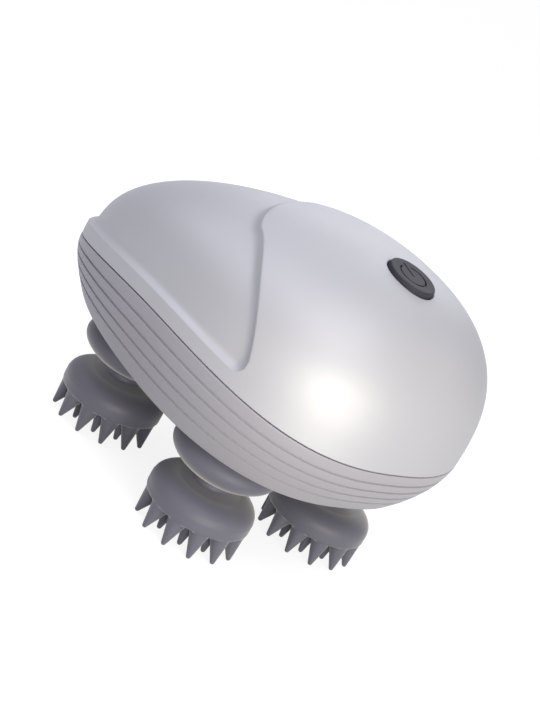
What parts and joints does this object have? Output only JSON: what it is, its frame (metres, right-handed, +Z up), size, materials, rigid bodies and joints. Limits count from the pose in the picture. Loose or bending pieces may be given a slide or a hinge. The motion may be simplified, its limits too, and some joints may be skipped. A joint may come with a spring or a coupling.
{
  "type": "electric scalp massager",
  "caption": "Egg-shaped cordless scalp massager with a stepped grip recess, a ribbed lower shell, a push button on top and four turning claw heads on domed necks.",
  "frame": {"origin": "below the middle of the body outline, in the plane of the claw tips", "axes": "+X towards the nose with the button, +Z up, head axes along Z"},
  "size_m": [0.1169, 0.0888, 0.0793],
  "materials": {
    "pearl_shell": "pearl satin",
    "ribbed_shell": "satin moulded",
    "base_plastic": "fine texture",
    "dark_silicone": "matt silicone",
    "gasket_rubber": "matt",
    "button_plastic": "satin",
    "spring_steel": "polished",
    "board": "solder mask",
    "black_plastic": "moulded",
    "cell_wrap": "shrink film",
    "gearbox_plastic": "moulded",
    "gear_plastic": "acetal",
    "motor_metal": "zinc plated",
    "steel": "ground",
    "bronze": "sintered",
    "brass": "turned"
  },
  "bodies": {
    "housing": {"top_shell": "pearl_shell", "bottom_shell": "ribbed_shell", "base_plate": "base_plastic", "parting_gasket": "gasket_rubber", "button_bezel": "button_plastic", "button_spring": "spring_steel", "main_board": "board", "tact_switch": "black_plastic", "battery_cell": "cell_wrap", "battery_cradle": "black_plastic", "battery_strap": "spring_steel", "board_parts": "black_plastic", "board_screws": "steel", "lower_gear_plate": "gearbox_plastic", "upper_gear_plate": "gearbox_plastic", "motor_can": "motor_metal", "reduction_axle": "steel", "drive_axle": "steel", "shaft_bush_1": "bronze", "shaft_bush_2": "bronze", "shaft_bush_3": "bronze", "shaft_bush_4": "bronze", "shaft_seals": "gasket_rubber", "neck_dome_1": "dark_silicone", "neck_dome_2": "dark_silicone", "neck_dome_3": "dark_silicone", "neck_dome_4": "dark_silicone", "charge_board": "board", "charge_socket": "steel", "shell_screws": "steel", "gear_plate_screws": "steel"},
    "button": {"power_button": "button_plastic"},
    "rotor": {"motor_shaft": "steel", "motor_pinion": "brass"},
    "reduction": {"reduction_gear": "gear_plastic"},
    "drive": {"central_gear": "gear_plastic", "drive_gear": "gear_plastic"},
    "cover": {"socket_cover": "dark_silicone"},
    "head_1": {"head_gear_1": "gear_plastic", "head_shaft_1": "steel", "shaft_clip_1": "spring_steel", "claw_head_1": "dark_silicone"},
    "head_2": {"head_gear_2": "gear_plastic", "head_shaft_2": "steel", "shaft_clip_2": "spring_steel", "claw_head_2": "dark_silicone"},
    "head_3": {"head_gear_3": "gear_plastic", "head_shaft_3": "steel", "shaft_clip_3": "spring_steel", "claw_head_3": "dark_silicone"},
    "head_4": {"head_gear_4": "gear_plastic", "head_shaft_4": "steel", "shaft_clip_4": "spring_steel", "claw_head_4": "dark_silicone"}
  },
  "joints": [
    {"name": "button_press", "type": "slide", "parent": "housing", "child": "button", "axis": [-0.1736, 0, -0.9848], "range_m": [0, 0.0008], "stiffness_N_per_m": 900, "springref_m": -0.0012},
    {"name": "head_1_spin", "type": "hinge", "parent": "housing", "child": "head_1", "pos_m": [0.0286, -0.02018, 0.036], "axis": [0, 0, 1], "continuous": true},
    {"name": "head_2_spin", "type": "hinge", "parent": "housing", "child": "head_2", "pos_m": [0.0286, 0.02018, 0.036], "axis": [0, 0, 1], "continuous": true},
    {"name": "head_3_spin", "type": "hinge", "parent": "housing", "child": "head_3", "pos_m": [-0.0158, 0.02018, 0.036], "axis": [0, 0, 1], "continuous": true},
    {"name": "head_4_spin", "type": "hinge", "parent": "housing", "child": "head_4", "pos_m": [-0.0158, -0.02018, 0.036], "axis": [0, 0, 1], "continuous": true},
    {"name": "drive_spin", "type": "hinge", "parent": "housing", "child": "drive", "pos_m": [0.0064, 0, 0.04], "axis": [0, 0, 1], "continuous": true},
    {"name": "reduction_spin", "type": "hinge", "parent": "housing", "child": "reduction", "pos_m": [-0.0152, 0, 0.045], "axis": [0, 0, 1], "continuous": true},
    {"name": "motor_spin", "type": "hinge", "parent": "housing", "child": "rotor", "pos_m": [0.00299, 0.0105, 0.05], "axis": [0, 0, 1], "continuous": true},
    {"name": "cover_swing", "type": "hinge", "parent": "housing", "child": "cover", "pos_m": [-0.0574, 0, 0.0414], "axis": [0, -1, 0], "range_deg": [0, 95]}
  ],
  "couplings": [
    {"joint": "head_2_spin", "follows": "head_1_spin", "ratio": 1},
    {"joint": "head_3_spin", "follows": "head_1_spin", "ratio": 1},
    {"joint": "head_4_spin", "follows": "head_1_spin", "ratio": 1},
    {"joint": "drive_spin", "follows": "head_1_spin", "ratio": -1},
    {"joint": "reduction_spin", "follows": "head_1_spin", "ratio": 5},
    {"joint": "motor_spin", "follows": "head_1_spin", "ratio": -30}
  ]
}
